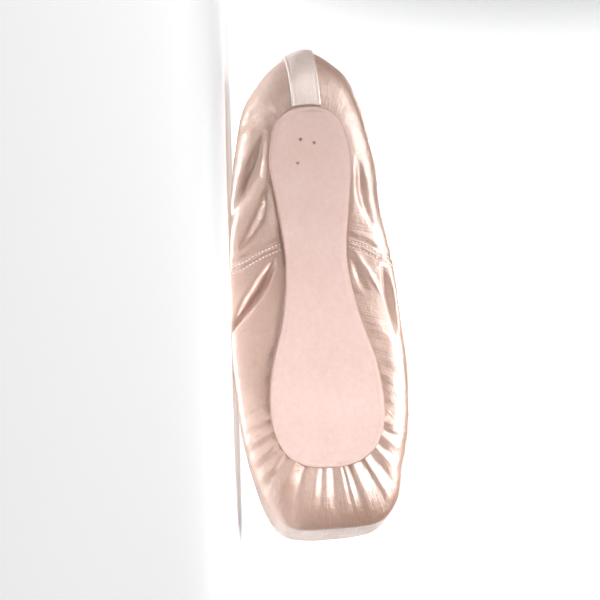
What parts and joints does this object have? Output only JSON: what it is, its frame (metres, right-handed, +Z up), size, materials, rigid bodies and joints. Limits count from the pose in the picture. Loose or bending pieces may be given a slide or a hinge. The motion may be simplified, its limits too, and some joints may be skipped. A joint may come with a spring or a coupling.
{
  "type": "pointe shoe",
  "caption": "Empty satin ballet pointe shoe lying on its left side, with a hollow upper, leather outsole, insole, back-seam tape and collar binding.",
  "frame": {"origin": "on the floor, below the middle of the shoe's bounding box, as it lies on its left side", "axes": "+X towards the toe, +Z up from the floor towards the shoe's right side, -Y the way that the sole faces"},
  "size_m": [0.2552, 0.0632, 0.0893],
  "materials": {
    "satin": "pale peach-pink satin, smooth and lustrous",
    "sole_leather": "undyed pink-beige split leather, matt",
    "sock_lining": "plain woven cotton, matt",
    "tape": "satin tape, stitched along both edges",
    "binding": "folded satin binding, stitched"
  },
  "bodies": {
    "root": {"upper": "satin", "outsole": "sole_leather", "insole": "sock_lining", "heel_tape": "tape", "collar_binding": "binding"}
  },
  "joints": []
}
